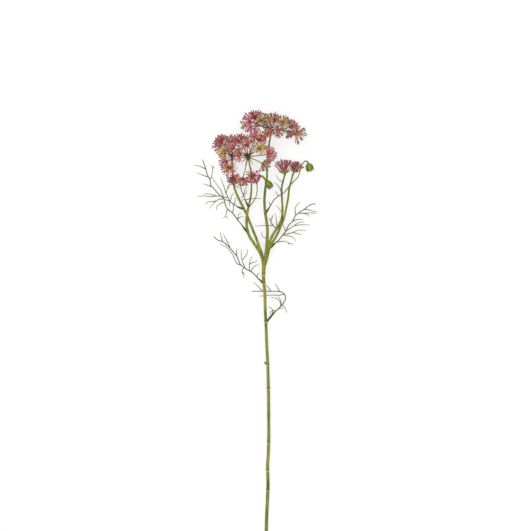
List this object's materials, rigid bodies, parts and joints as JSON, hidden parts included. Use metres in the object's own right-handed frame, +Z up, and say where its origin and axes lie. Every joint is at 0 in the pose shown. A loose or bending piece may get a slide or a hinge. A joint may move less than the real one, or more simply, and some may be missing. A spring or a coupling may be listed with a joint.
{
  "type": "cut flower stem",
  "caption": "Cut stem of Queen Anne's lace lying down: branching green stem, feathery thread leaves, nodding buds and umbels of slender pink florets.",
  "frame": {"origin": "on the table under the middle of the lying stem's box", "axes": "+Y along the stem from its cut end to the flowers, +Z up from the table"},
  "size_m": [0.1878, 0.653, 0.0744],
  "materials": {
    "stem_green": "satin",
    "leaf_green": "matte",
    "bud_green": "satin",
    "floret_pink": "matte",
    "floret_salmon": "matte",
    "floret_crimson": "matte",
    "floret_tan": "matte"
  },
  "bodies": {
    "root": {"bud_middle": "bud_green", "bud_right": "bud_green", "leaf_centre": "leaf_green", "leaf_inner_left": "leaf_green", "leaf_inner_right": "leaf_green", "leaf_lower_left": "leaf_green", "leaf_lower_right": "leaf_green", "leaf_mid_left": "leaf_green", "leaf_right": "leaf_green", "leaf_upper_left": "leaf_green", "left_burst_1": "floret_pink", "left_burst_2": "floret_tan", "left_burst_3": "floret_tan", "left_burst_4": "floret_salmon", "left_burst_5": "floret_salmon", "left_burst_6": "floret_crimson", "left_burst_7": "floret_crimson", "left_burst_8": "floret_crimson", "mid_burst_1": "floret_pink", "mid_burst_10": "floret_pink", "mid_burst_11": "floret_pink", "mid_burst_2": "floret_tan", "mid_burst_3": "floret_pink", "mid_burst_4": "floret_tan", "mid_burst_5": "floret_crimson", "mid_burst_6": "floret_salmon", "mid_burst_7": "floret_pink", "mid_burst_8": "floret_salmon", "mid_burst_9": "floret_crimson", "right_inner_burst_1": "floret_pink", "right_outer_burst_1": "floret_pink", "stem": "stem_green", "top_burst_1": "floret_pink", "top_burst_10": "floret_salmon", "top_burst_11": "floret_tan", "top_burst_12": "floret_pink", "top_burst_2": "floret_tan", "top_burst_3": "floret_pink", "top_burst_4": "floret_tan", "top_burst_5": "floret_pink", "top_burst_6": "floret_tan", "top_burst_7": "floret_salmon", "top_burst_8": "floret_crimson", "top_burst_9": "floret_pink"}
  },
  "joints": []
}
